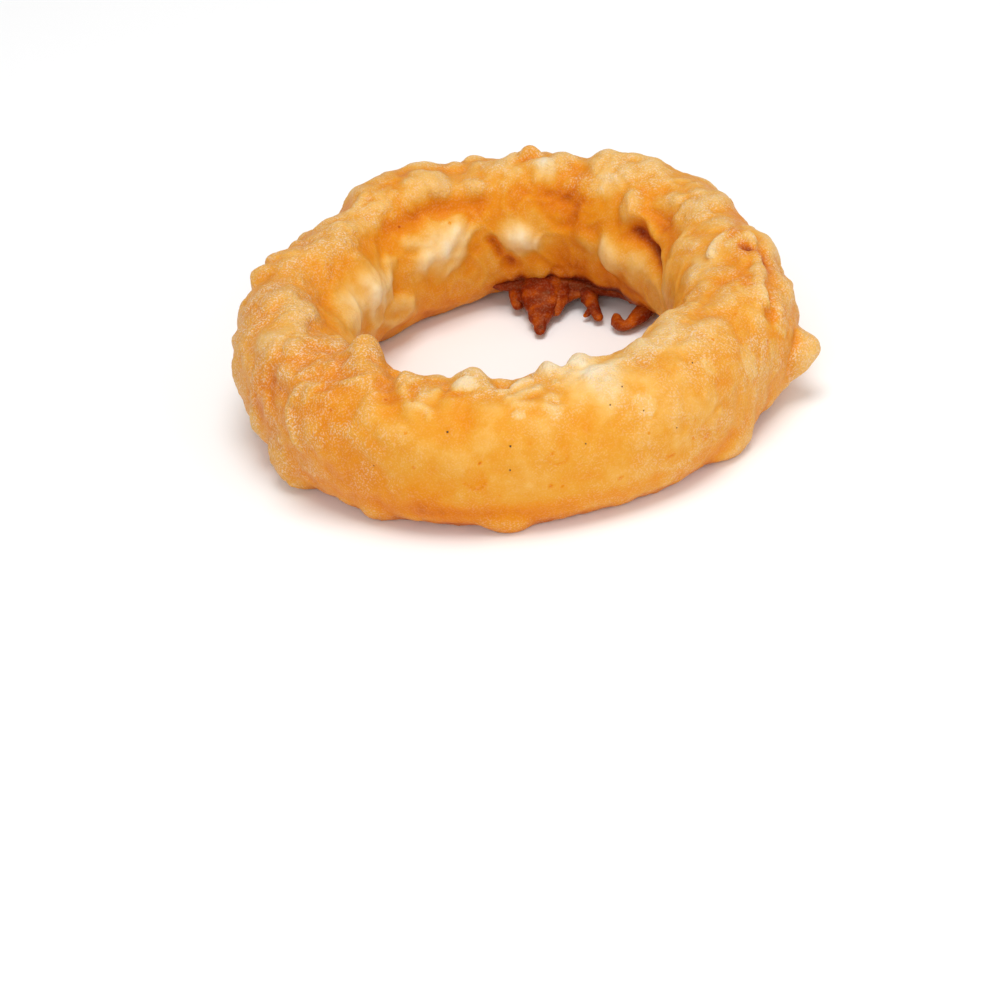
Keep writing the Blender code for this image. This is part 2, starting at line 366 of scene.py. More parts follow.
def blurred(values, sigma_round, sigma_section):
    """A Gaussian blur on the ring's grid, which meets itself both ways."""
    g = grid(values)
    f0 = np.fft.fftfreq(ROUND_STEPS)
    f1 = np.fft.fftfreq(SECTION_STEPS)
    kernel = np.exp(-2 * (math.pi * sigma_round * f0[:, None]) ** 2) * np.exp(
        -2 * (math.pi * sigma_section * f1[None, :]) ** 2
    )
    if g.ndim == 3:
        kernel = kernel[:, :, None]
    out = np.fft.ifft2(np.fft.fft2(g, axes=(0, 1)) * kernel, axes=(0, 1)).real
    return out.reshape(values.shape)


def window(angle, low, high, soft):
    """1 between two angles in degrees, easing to 0 over soft degrees outside them."""
    half = ((high - low) % 360.0) / 2
    away = np.abs(angle_gap(angle, low + half)) - half
    return 1 - smooth(0.0, soft, away)


# Smaller lumps and dips, below the CAD solid's facets: ROUND, SECTION, radius, height
DETAILS = {
    "knob_peak": (218, 115, 2.8, 0.7),
    "right_outline_a": (2, 40, 2.0, 0.7),
    "right_outline_b": (354, 30, 1.8, 0.8),
    "right_outline_c": (349, 14, 1.8, 0.6),
    "far_outline_a": (94, 66, 1.9, 0.6),
    "far_outline_b": (52, 74, 2.4, 0.6),
    "far_outline_c": (60, 80, 2.0, 0.7),
    "left_outline_a": (157, 62, 1.8, 0.6),
    "left_outline_b": (150, 70, 2.0, 0.6),
    "left_outline_c": (178, 28, 2.0, 0.5),
    "far_left_bead": (100, 80, 2.2, 0.8),
    "far_middle_lump": (85, 96, 3.2, 0.5),
    "flap_dimple": (42, 126, 1.4, -0.6),
    "right_edge_bead": (352, 2, 2.4, 0.6),
    "right_edge_bead_low": (340, 330, 2.6, 0.6),
    "shelf_bump": (59, 164, 2.4, 0.7),
    "far_dimple": (73, 130, 1.3, -0.35),
    "far_dimple_low": (68, 134, 1.2, -0.35),
    "far_dimple_lowest": (64, 150, 1.5, -0.45),
    "far_left_cheek": (107, 148, 3.0, 0.6),
    "left_scab": (184, 100, 3.4, 0.6),
    "left_scab_low": (197, 78, 3.6, 0.6),
    "left_hollow": (206, 78, 4.0, -0.6),
    "crest_scab": (245, 80, 2.8, 0.45),
    "crest_scab_low": (243, 66, 2.2, 0.35),
    "crest_oval": (254, 95, 2.3, 0.55),
    "crest_oval_peak": (254, 117, 2.6, 0.8),
    "crest_gap": (250, 93, 1.5, -0.5),
    "inner_left_fold": (150, 196, 3.4, 0.8),
    "inner_left_fold_low": (140, 188, 3.0, 0.7),
    "inner_left_fold_gap": (149, 184, 2.0, -0.7),
}

# Thin folds and wrinkles: half width, height, then ROUND and SECTION along them
FOLDS = {
    "wrinkle_left": (0.8, 0.45, (264, 90), (266, 97), (269, 103)),
    "wrinkle_middle": (0.7, 0.40, (265, 79), (269, 85), (272, 89)),
    "wrinkle_right": (0.7, 0.35, (267, 72), (271, 70), (274, 64)),
    "scab_edge": (0.6, 0.35, (240, 100), (239, 84), (242, 70), (247, 64)),
    "flap_edge": (0.55, 0.50, (353, 104), (359, 96), (3, 84), (358, 73), (348, 67), (340, 60), (337, 50)),
    "flap_edge_low": (0.5, 0.30, (337, 50), (340, 40), (335, 32), (337, 22)),
    "inner_left_streak": (0.9, 0.50, (134, 150), (140, 168), (138, 186), (131, 200)),
    "inner_left_streak_low": (0.8, 0.45, (151, 158), (153, 176), (148, 196), (139, 212)),
    "inner_far_streak": (0.8, 0.45, (103, 140), (107, 150), (112, 158), (121, 164)),
    "inner_far_streak_low": (0.8, 0.40, (99, 150), (104, 160), (106, 174), (112, 186)),
    "inner_far_left_edge": (0.9, 0.40, (124, 142), (119, 152), (122, 168)),
    "left_fold_edge": (0.7, 0.45, (226, 78), (219, 70), (213, 56), (211, 40), (215, 24), (217, 8)),
    "left_crest_edge": (0.8, 0.35, (186, 104), (193, 96), (199, 86), (203, 74)),
}

# ---------------------------------------------------------------------------
# Where the crust is paler or deeper than its golden middle, some of it painted highlight and painted shade as marked
# below: ROUND, SECTION, radius, shift of tone
# ---------------------------------------------------------------------------

TONES = {
    # Pale lumps on the wall round the hole: partly paler crust, partly painted highlight where they face the light
    "inner_far_lump": (82, 164, 4.2, 0.40),
    "inner_far_left_lump": (115, 159, 5.2, 0.36),
    "inner_far_left_top": (106, 148, 2.6, 0.22),
    "inner_left_lump": (147, 162, 5.4, 0.30),
    "inner_left_lump_high": (160, 153, 5.0, 0.24),
    "inner_left_cheek": (170, 160, 3.6, 0.12),
    "inner_right_shelf": (47, 170, 3.2, 0.26),
    "inner_right_low_shelf": (33, 170, 3.2, 0.18),
    "inner_far_hollow": (67, 136, 6.6, -0.20),
    "inner_far_hollow_low": (62, 152, 4.2, -0.17),
    "inner_far_upper": (80, 136, 3.4, -0.12),
    "inner_far_left_upper": (94, 140, 3.0, -0.10),
    # The foot of the wall round the hole darker: partly fried browner, partly painted shade under the ring
    "inner_left_low": (118, 218, 4.2, -0.18),
    "inner_far_low": (70, 212, 4.6, -0.30),
    "inner_far_low_right": (54, 212, 4.4, -0.30),
    "inner_far_low_left": (86, 214, 3.6, -0.24),
    "inner_far_low_end": (40, 214, 3.6, -0.24),
    "inner_left_corner": (150, 250, 5.0, -0.12),
    # Painted shade in the groove on the wall round the hole
    "inner_groove": (27, 132, 5.0, -0.16),
    "inner_groove_low": (18, 146, 3.4, -0.14),
    "far_pale_lump": (74, 106, 2.4, 0.26),
    "far_right_patch": (54, 113, 3.0, 0.26),
    "far_roll": (104, 105, 3.2, 0.08),
    "far_roll_left": (114, 103, 3.0, 0.06),
    "far_left_top": (106, 70, 3.0, 0.12),
    "far_middle": (86, 102, 2.6, 0.12),
    "far_dip": (63, 122, 3.4, -0.09),
    "far_nub": (79, 87, 1.7, -0.26),
    "right_rim": (20, 94, 4.0, 0.10),
    "left_scab": (182, 99, 3.2, 0.12),
    "left_scab_low": (194, 78, 4.2, 0.30),
    "left_hollow": (205, 74, 3.4, -0.04),
    # left_side, left_front, left_front_high, left_front_low, left_middle, left_outer and left_hollow_low: painted
    # shade down the left side and the left front
    "left_side": (206, 48, 12.0, -0.09),
    "left_front": (226, 40, 11.0, -0.11),
    "left_front_high": (219, 62, 7.0, -0.08),
    "left_front_low": (222, 10, 9.0, -0.08),
    "left_rim_top": (172, 78, 8.0, -0.05),
    "knob": (221, 106, 6.0, -0.13),
    "crest_left_side": (240, 88, 5.0, -0.22),
    "left_middle": (203, 66, 8.0, -0.06),
    "left_outer": (200, 18, 5.0, -0.26),
    "near_right_crest": (284, 90, 6.5, 0.26),
    "right_of_crest": (289, 68, 6.0, 0.17),
    "right_side": (346, 30, 11.0, -0.09),
    "far_left_rim": (118, 96, 9.0, -0.17),
    "far_right_rim": (22, 78, 9.0, -0.08),
    "left_hollow_low": (204, 34, 3.6, -0.08),
    "left_low_mound": (196, 344, 3.0, 0.18),
    "left_fold_edge": (212, 42, 1.8, 0.10),
    "left_fold_top": (214, 60, 2.2, 0.08),
    # Painted shade along the lower front edge
    "front_left_low": (229, 352, 5.4, -0.16),
    "front_left_edge": (246, 336, 6.0, -0.26),
    "front_left_edge_far": (236, 334, 5.0, -0.14),
    "front_edge": (258, 336, 4.6, -0.12),
    "knob_side": (229, 94, 2.4, -0.14),
    "crest_scab": (245, 84, 3.0, 0.20),
    "crest_left": (236, 100, 2.6, 0.14),
    # Painted shade in the gap between the crest's lumps
    "crest_gap": (251, 84, 1.9, -0.14),
    "below_crest": (252, 62, 5.4, -0.07),
    "crest_wrinkles": (268, 92, 2.8, 0.20),
    "below_wrinkles": (272, 71, 2.4, -0.14),
    "near_twin_left": (278, 114, 2.8, 0.22),
    "near_twin_right": (284, 100, 2.8, 0.20),
    "right_crest": (303, 98, 4.2, 0.12),
    "right_upper": (314, 86, 5.4, 0.22),
    "right_gold": (299, 64, 4.2, -0.08),
    "right_gold_low": (315, 40, 4.0, -0.10),
    "right_flap": (343, 78, 4.6, -0.14),
    "right_inner_rim": (352, 112, 3.6, 0.18),
    "right_outer": (339, 50, 2.8, -0.12),
    "right_edge": (337, 24, 5.0, -0.14),
    # The pit behind the flap: partly browner batter, partly painted shade in the pit
    "flap_pit": (354, 72, 2.8, -0.52),
    "flap_pit_edge": (2, 80, 2.2, -0.36),
    "flap_pit_low": (351, 64, 2.2, -0.22),
    # Painted shade in the crevice on the wall round the hole
    "inner_crevice": (25, 159, 2.2, -0.36),
    "right_tip": (343, 346, 4.0, -0.07),
    "inner_far_side": (95, 138, 9.0, -0.06),
    "inner_right_side": (40, 148, 9.0, -0.06),
}

# Thin pale films of batter with a crisp edge: ROUND, SECTION, half length along
# the wall, half width round the ring, shift of tone
FILMS = {
    "crest_oval": (254, 95, 1.7, 2.3, 0.20),
    "right_film": (323, 28, 3.6, 1.9, 0.11),
    "right_film_small": (312, 49, 1.7, 1.1, 0.13),
    "middle_film": (294, 44, 2.2, 1.7, 0.09),
    "wrinkle_film": (267, 62, 0.9, 1.2, 0.12),
    "below_twin_film": (275, 66, 3.0, 1.4, 0.09),
    "right_low_film": (332, 12, 3.0, 1.5, 0.08),
    "right_rim_film": (338, 66, 2.6, 1.3, 0.10),
}

# Oil stains on the smooth wall: ROUND, SECTION, radius, shift of tone
STAINS = {
    "stain_crescent": (273, 24, 0.45, -0.20),
    "stain_crescent_end": (277, 20, 0.35, -0.16),
    "stain_low": (272, 350, 0.42, -0.26),
    "stain_low_end": (274, 349, 0.30, -0.20),
    "stain_red": (258, 22, 0.30, -0.34),
    "stain_left": (240, 14, 0.40, -0.20),
    "stain_left_end": (242, 12, 0.30, -0.16),
    "stain_centre": (268, 33, 0.28, -0.16),
    "stain_centre_b": (276, 42, 0.32, -0.16),
    "stain_right": (298, 350, 0.42, -0.20),
    "stain_right_high": (304, 14, 0.32, -0.16),
    "stain_right_low": (286, 345, 0.34, -0.20),
    "stain_far_right": (331, 28, 0.45, -0.16),
    "stain_far_right_b": (322, 44, 0.35, -0.14),
    "stain_middle": (282, 8, 0.30, -0.14),
    "stain_middle_b": (250, 358, 0.30, -0.14),
}

ring_angle, section_angle = angles_of(ROUND_STEPS, SECTION_STEPS)
base = wall(ring_angle, section_angle)
strayed = wandered(base)
s = np.sin(section_angle)
c = np.cos(section_angle)
rough = crust_mask(ring_angle, section_angle)
top_rim = smooth(0.35, 0.95, s)
outer_side = smooth(0.0, 0.7, c)
inner_side = smooth(0.05, 0.6, -c) * (1 - 0.8 * smooth(0.6, 0.95, s))

# The kinds of crust, each where it lies
zone_left = window(ring_angle, 150, 232, 14) * window(section_angle, -40, 122, 16)
zone_crest = window(ring_angle, 226, 300, 12) * window(section_angle, 84, 135, 14)
zone_far_rim = window(ring_angle, 22, 160, 16) * window(section_angle, 42, 120, 14)
zone_right = window(ring_angle, 300, 20, 14) * window(section_angle, -40, 120, 20)
zone_front = window(ring_angle, 232, 312, 22) * window(section_angle, -70, 76, 12)
zone_back = window(ring_angle, 8, 165, 14) * window(section_angle, -75, 40, 14)
zone_foot = window(section_angle, 285, 316, 10)
zone_inner = window(section_angle, 128, 262, 12)


def blend_zones(left, crest, far_rim, right, front, back, foot, inner, rest):
    weights = [zone_left, zone_crest, zone_far_rim, zone_right, zone_front, zone_back, zone_foot, zone_inner]
    values = [left, crest, far_rim, right, front, back, foot, inner]
    total = sum(weights) + 0.08
    return (sum(w * v for w, v in zip(weights, values)) + 0.08 * rest) / total


point = crust(ring_angle, section_angle, settle=False, drips=False)

detail = np.zeros(len(base))
for ring_at, section_at, radius, rise in DETAILS.values():
    away = np.linalg.norm(strayed - wall_at(ring_at, section_at), axis=1)
    detail += rise * dome(away, 1.15 * radius)
winding = base + 0.6 * np.stack([noise(base, 2.6, 35 + k) for k in range(3)], axis=1)
fold_line = np.zeros(len(base))
for half_width, rise, *stops in FOLDS.values():
    ridge = dome(distance_along(winding, stops), 2.0 * half_width)
    detail += rise * ridge
    fold_line = np.maximum(fold_line, ridge)
point = point + grid_normals(point) * detail[:, None]

# The larger popped lumps
patchy = smooth(-0.35, 0.3, noise(base, 13.0, 41))
amount = blend_zones(0.75, 0.50, 1.0, 0.32, 0.05, 0.85, 0.75, 0.36, 0.5) * (0.35 + 0.65 * patchy)
lumps = popped(strayed, 4.8, 51, 0.6, 1.0) ** 1.4
point = point + grid_normals(point) * (amount * (lumps - 0.4))[:, None]

# Smaller ones on top of them, in patches
patchy_small = smooth(-0.2, 0.5, noise(base, 7.0, 42))
amount_small = blend_zones(0.46, 0.54, 0.58, 0.34, 0.02, 0.50, 0.42, 0.09, 0.3) * (0.25 + 0.75 * patchy_small)
lumps_small = popped(strayed, 2.1, 61, 0.55, 0.95, 0.8) ** 1.3
point = point + grid_normals(point) * (amount_small * (lumps_small - 0.35))[:, None]

# Folds and wrinkles of the batter: thin winding ridges
wrinkle = 1 - smooth(0.0, 0.16, np.abs(noise(strayed, 6.5, 81)))
amount_wrinkle = blend_zones(0.13, 0.22, 0.12, 0.16, 0.0, 0.12, 0.10, 0.16, 0.1)
point = point + grid_normals(point) * (amount_wrinkle * wrinkle)[:, None]

# Small round bubbles, standing or burst, few and scattered
bubbles = popped(base, 3.4, 91, 0.10, 0.26, 0.55)
amount_bubbles = blend_zones(0.30, 0.30, 0.22, 0.26, 0.07, 0.26, 0.3, 0.10, 0.2)
point = point + grid_normals(point) * (amount_bubbles * bubbles)[:, None]

# Fine unevenness everywhere
fine = 0.10 * noise(base, 1.25, 71) + 0.13 * noise(base, 2.9, 72)
point = point + grid_normals(point) * (fine * blend_zones(1.0, 1.0, 0.8, 0.6, 0.30, 1.0, 1.0, 0.5, 0.8))[:, None]

point[:, 2] = np.maximum(point[:, 2], 0.0)
point -= middle_of_solid()

# What the finish follows: how far each place stands out of the surface round it
normal = grid_normals(point)
step_round = 2 * math.pi * PATH_RADIUS / ROUND_STEPS
step_section = 65.0 / SECTION_STEPS


def standing_out(size):
    whole = ((point - blurred(point, size / step_round, size / step_section)) * normal).sum(axis=1)
    plain_wall = ((base - blurred(base, size / step_round, size / step_section)) * normal).sum(axis=1)
    return whole - plain_wall


relief_small = standing_out(0.9)
relief_large = standing_out(2.8)

# Where the crust is dry and frosted with fine grain, and where it is bare and oily
frost_patches = smooth(-0.30, 0.35, noise(strayed, 5.5, 45) + 0.9 * relief_large + 1.2 * relief_small)
frost_least = blend_zones(0.52, 0.35, 0.25, 0.28, 0.10, 0.22, 0.20, 0.10, 0.20)
frost = blend_zones(1.0, 1.0, 0.70, 0.80, 0.10, 0.6, 0.45, 0.10, 0.5) * (frost_least + (1 - frost_least) * frost_patches)
frost = np.clip(frost + 0.35 * fold_line * (1 - zone_inner), 0, 1)

tone = np.full(len(base), 0.62)
# Paler where the crust stands out, darker where it sinks: partly the drier raised crust, partly painted highlight on
# the raised places and painted shade in the recesses
tone += 0.09 * np.tanh(relief_large / 0.5) + 0.06 * np.tanh(relief_small / 0.12) * (0.4 + 0.6 * frost)
tone += 0.030 * noise(base, 11.0, 46) + 0.040 * noise(strayed, 4.5, 47) + 0.022 * noise(base, 1.6, 48)
tone += 0.05 * fold_line
streaks = noise(base * np.array([1.6, 1.6, 0.7]), 2.4, 109)
torn = base + 1.3 * np.stack([noise(base, 3.2, 111 + k) for k in range(3)], axis=1)
torn = torn + 0.4 * np.stack([noise(base, 1.2, 121 + k) for k in range(3)], axis=1)
for name, (ring_at, section_at, radius, shift) in TONES.items():
    away = np.linalg.norm(torn - wall_at(ring_at, section_at), axis=1)
    soft = (1 - smooth(0.0, 1.45, away / radius)) * (0.80 + 0.35 * streaks)
    tone += shift * (0.80 if radius > 2.4 else 1.1) * soft
    if shift > 0 and not name.startswith("inner"):
        frost = np.clip(frost + 2.2 * shift * soft * frost_patches, 0, 1)
    if shift < -0.13:
        frost = frost * (1 - 0.55 * np.clip(soft, 0, 1))
for ring_at, section_at, half_length, half_width, shift in FILMS.values():
    middle = wall_at(ring_at, section_at)
    along = wall_at(ring_at, section_at + 0.5) - wall_at(ring_at, section_at - 0.5)
    along /= np.linalg.norm(along)
    gap = base + 0.35 * np.stack([noise(base, 1.6, 61 + k) for k in range(3)], axis=1) - middle
    up = gap @ along
    side = np.sqrt(np.maximum((gap * gap).sum(axis=1) - up * up, 0.0))
    film = 1 - smooth(0.82, 1.0, np.sqrt((up / half_length) ** 2 + (side / half_width) ** 2))
    tone += shift * film
    frost = np.maximum(frost, 0.55 * film)
for ring_at, section_at, radius, shift in STAINS.values():
    away = np.linalg.norm(strayed - wall_at(ring_at, section_at), axis=1)
    tone += shift * (1 - smooth(0.5, 1.0, away / radius))
# Round bubbles just under the skin show as a slightly darker inside, with painted shade in a darker crescent along the
# lower half of each rim: ROUND, SECTION, radius
for ring_at, section_at, radius in ((257, 8, 1.9), (274, 22, 1.6), (297, 352, 0.7), (339, 40, 1.3), (333, 8, 1.6), (306, 352, 0.6)):
    middle = wall_at(ring_at, section_at)
    away = np.linalg.norm(base + 0.25 * np.stack([noise(base, 1.5, 171 + k) for k in range(3)], axis=1) - middle, axis=1)
    rim = np.exp(-(((away - radius) / 0.22) ** 2)) * smooth(0.1, -0.6, (base[:, 2] - middle[2]) / radius)
    tone -= 0.11 * rim
    tone -= 0.03 * (away < radius)
shade_under_roll = dome(distance_along(strayed, LINES["inner_roll_shadow"][2:]), 3.0)
tone -= 0.06 * shade_under_roll
# Painted shade in the crease between the far lumps of the wall round the hole
tone -= 0.17 * dome(distance_along(winding, LINES["inner_far_crease"][2:]), 1.3)
# The underside and the lower edges darker: partly fried browner, partly painted shade under the ring
foot_inner = window(section_angle, 224, 262, 10)
tone -= foot_inner * (0.10 + 0.40 * around(ring_angle, 58, 34)) * (0.75 + 0.5 * noise(torn, 3.0, 49))
tone -= 0.16 * window(section_angle, 266, 304, 14)
tone -= 0.05 * zone_inner
# Painted shade along the foot of the near wall
tone -= 0.12 * window(section_angle, 300, 326, 16) * around(ring_angle, 255, 70)
# Painted shade in the crevice on the right of the wall round the hole
tone -= 0.26 * dome(distance_along(winding, LINES["inner_right_crevice"][2:]), 1.6)
# Painted shade over the left side: its tone drawn towards a darker middle
tone += 0.35 * zone_left * (0.52 - tone)
tone = np.clip(tone, 0.0, 1.0)


def ring_mesh():
    count = ROUND_STEPS * SECTION_STEPS
    i, j = np.meshgrid(np.arange(ROUND_STEPS), np.arange(SECTION_STEPS), indexing="ij")
    i2, j2 = (i + 1) % ROUND_STEPS, (j + 1) % SECTION_STEPS
    corners = np.stack(
        [i * SECTION_STEPS + j, i2 * SECTION_STEPS + j, i2 * SECTION_STEPS + j2, i * SECTION_STEPS + j2],
        axis=-1,
    ).reshape(-1, 4)
    mesh = bpy.data.meshes.new("onion_ring_crust")
    mesh.vertices.add(count)
    mesh.vertices.foreach_set("co", (point * MM).astype(np.float32).ravel())
    mesh.loops.add(4 * count)
    mesh.loops.foreach_set("vertex_index", corners.ravel().astype(np.int32))
    mesh.polygons.add(count)
    mesh.polygons.foreach_set("loop_start", np.arange(0, 4 * count, 4, dtype=np.int32))
    mesh.polygons.foreach_set("loop_total", np.full(count, 4, dtype=np.int32))
    mesh.update(calc_edges=True)
    mesh.validate()
    # The map: four quarters of the ring side by side, cut along the underside
    quarter = ROUND_STEPS // 4
    k = i // quarter
    u0 = (i % quarter) / quarter
    u1 = u0 + 1.0 / quarter
    shift = SECTION_STEPS // 4
    row = (j + shift) % SECTION_STEPS
    v0 = row / SECTION_STEPS
    v1 = (row + 1) / SECTION_STEPS
    gap = 0.012
    ou = np.where(k % 2 == 0, 0.0, 0.5) + gap
    ov = np.where(k // 2 == 0, 0.0, 0.5) + gap
    span = 0.5 - 2 * gap
    uv = np.stack(
        [
            np.stack([ou + span * u0, ov + span * v0], axis=-1),
            np.stack([ou + span * u1, ov + span * v0], axis=-1),
            np.stack([ou + span * u1, ov + span * v1], axis=-1),
            np.stack([ou + span * u0, ov + span * v1], axis=-1),
        ],
        axis=2,
    )
    layer = mesh.uv_layers.new(name="OFBake")
    layer.uv.foreach_set("vector", uv.astype(np.float32).ravel())
    mesh.shade_smooth()
    return mesh


def add_values(mesh, name, values):
    attribute = mesh.attributes.new(name, "FLOAT", "POINT")
    attribute.data.foreach_set("value", values.astype(np.float32))


ring = bpy.data.objects.new("crust", ring_mesh())
bpy.context.scene.collection.objects.link(ring)
add_values(ring.data, "tone", tone)
add_values(ring.data, "frost", frost)


# ---------------------------------------------------------------------------
# The finish
# ---------------------------------------------------------------------------


def colour(r, g, b):
    """A colour given as 0 to 255 on screen, as the shader takes it."""
    def one(v):
        v /= 255.0
        return v / 12.92 if v <= 0.04045 else ((v + 0.055) / 1.055) ** 2.4
    return (one(r), one(g), one(b), 1.0)


class Nodes:
    """Short forms for the shader nodes below."""

    def __init__(self, name):
        self.material = bpy.data.materials.new(name)
        self.material.use_nodes = True
        self.tree = self.material.node_tree
        self.shader = self.tree.nodes["Principled BSDF"]

    def link(self, a, b):
        self.tree.links.new(a, b)

    def put(self, socket, value):
        if hasattr(value, "is_linked"):
            self.link(value, socket)
        else:
            socket.default_value = value

    def attribute(self, name):
        n = self.tree.nodes.new("ShaderNodeAttribute")
        n.attribute_name = name
        return n.outputs["Fac"]

    def place(self):
        return self.tree.nodes.new("ShaderNodeTexCoord").outputs["Object"]

    def noise(self, size, detail=2.0, roughness=0.5, distortion=0.0):
        """Noise whose lumps are about size metres across."""
        n = self.tree.nodes.new("ShaderNodeTexNoise")
        self.link(self.place(), n.inputs["Vector"])
        n.inputs["Scale"].default_value = 0.5 / size
        n.inputs["Detail"].default_value = detail
        n.inputs["Roughness"].default_value = roughness
        n.inputs["Distortion"].default_value = distortion
        return n.outputs["Fac"]

    def voronoi(self, size, feature="F1", smoothness=0.0):
        n = self.tree.nodes.new("ShaderNodeTexVoronoi")
        n.feature = feature
        self.link(self.place(), n.inputs["Vector"])
        n.inputs["Scale"].default_value = 1.0 / size
        if feature == "SMOOTH_F1":
            n.inputs["Smoothness"].default_value = smoothness
        return n.outputs["Distance"]

    def math(self, operation, a, b=0.0, c=0.0):
        n = self.tree.nodes.new("ShaderNodeMath")
        n.operation = operation
        self.put(n.inputs[0], a)
        self.put(n.inputs[1], b)
        self.put(n.inputs[2], c)
        return n.outputs[0]

    def ramp(self, value, low, high, to_low=0.0, to_high=1.0):
        """value mapped smoothly from low..high to to_low..to_high."""
        n = self.tree.nodes.new("ShaderNodeMapRange")
        n.interpolation_type = "SMOOTHSTEP"
        self.put(n.inputs["Value"], value)
        n.inputs["From Min"].default_value = low
        n.inputs["From Max"].default_value = high
        n.inputs["To Min"].default_value = to_low
        n.inputs["To Max"].default_value = to_high
        return n.outputs["Result"]

    def colours(self, value, stops):
        n = self.tree.nodes.new("ShaderNodeValToRGB")
        n.color_ramp.interpolation = "LINEAR"
        elements = n.color_ramp.elements
        while len(elements) > 1:
            elements.remove(elements[-1])
        elements[0].position, elements[0].color = stops[0]
        for position, rgba in stops[1:]:
            elements.new(position).color = rgba
        self.link(value, n.inputs["Fac"])
        return n.outputs["Color"]

    def mix(self, a, b, factor, blend="MIX"):
        n = self.tree.nodes.new("ShaderNodeMix")
        n.data_type = "RGBA"
        n.blend_type = blend
        self.put(n.inputs[0], factor)
        self.put(n.inputs[6], a)
        self.put(n.inputs[7], b)
        return n.outputs[2]

    def bump(self, height, strength, distance, normal=None):
        n = self.tree.nodes.new("ShaderNodeBump")
        n.inputs["Strength"].default_value = strength
        n.inputs["Distance"].default_value = distance
        self.put(n.inputs["Height"], height)
        if normal is not None:
            self.link(normal, n.inputs["Normal"])
        return n.outputs["Normal"]


# From the darkest fried edge and deepest painted shade to the palest crust and painted highlight
BATTER_TONES = (
    (0.00, colour(100, 24, 2)),
    (0.12, colour(138, 40, 3)),
    (0.26, colour(196, 90, 5)),
    (0.38, colour(228, 126, 8)),
    (0.50, colour(238, 148, 24)),
    (0.60, colour(240, 166, 54)),
    (0.72, colour(247, 190, 98)),
    (0.86, colour(254, 216, 150)),
    (1.00, colour(255, 238, 200)),
)
FROST = colour(255, 222, 188)
# How light the fried crust is as a whole
LIGHTNESS = 0.785


def batter():
    n = Nodes("fried_batter")
    tone = n.attribute("tone")
    frost = n.attribute("frost")
    mottle = n.noise(0.0009, 4.0, 0.65)
    tone = n.math("ADD", tone, n.math("MULTIPLY", n.math("SUBTRACT", mottle, 0.5), 0.14))
    fleck = n.ramp(n.voronoi(0.0042), 0.05, 0.09, 1.0, 0.0)
    tone = n.math("SUBTRACT", tone, n.math("MULTIPLY", fleck, n.math("MULTIPLY", n.ramp(n.noise(0.004), 0.48, 0.6), 0.16)))
    grains = n.ramp(n.noise(0.00015, 1.0, 0.5), 0.50, 0.63)
    dusting = n.ramp(n.noise(0.0014, 3.0, 0.6), 0.30, 0.62, 0.35, 1.0)
    cover = n.math("MULTIPLY", n.math("MULTIPLY", frost, dusting), n.math("MULTIPLY_ADD", grains, 0.74, 0.08))
    cover = n.math("ADD", cover, n.math("MULTIPLY", grains, 0.06))
    crumb = n.mix(n.colours(tone, BATTER_TONES), FROST, cover)
    n.link(n.mix(crumb, (LIGHTNESS, LIGHTNESS, LIGHTNESS, 1.0), 1.0, "MULTIPLY"), n.shader.inputs["Base Color"])

    grain = n.noise(0.00020, 2.0, 0.6)
    bubbles = n.voronoi(0.0007, "SMOOTH_F1", 0.5)
    height = n.math("ADD", grain, n.math("MULTIPLY", bubbles, -0.30))
    height = n.math("MULTIPLY", height, n.math("MULTIPLY_ADD", frost, 0.88, 0.12))
    n.link(n.bump(height, 0.9, 0.0004), n.shader.inputs["Normal"])
    rough_by = n.math("ADD", n.ramp(n.noise(0.0015, 2.0, 0.6), 0.3, 0.7, 0.40, 0.52), n.math("MULTIPLY", frost, 0.08))
    n.link(rough_by, n.shader.inputs["Roughness"])
    n.shader.inputs["Subsurface Weight"].default_value = 0.16
    n.shader.inputs["Subsurface Radius"].default_value = (1.0, 0.55, 0.20)
    n.shader.inputs["Subsurface Scale"].default_value = 0.0014
    n.shader.inputs["Specular IOR Level"].default_value = 0.32
    n.shader.inputs["Specular Tint"].default_value = colour(255, 196, 120)
    n.shader.inputs["IOR"].default_value = 1.45
    return n.material


BATTER = batter()
ring.data.materials.append(BATTER)
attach(ring, "root")
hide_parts("onion_ring")


# ---------------------------------------------------------------------------
# Batter that ran off the far wall's lower edge and set there: each a chain of
# X, Y, Z and radius, from its root inside the wall to its tip
# ---------------------------------------------------------------------------

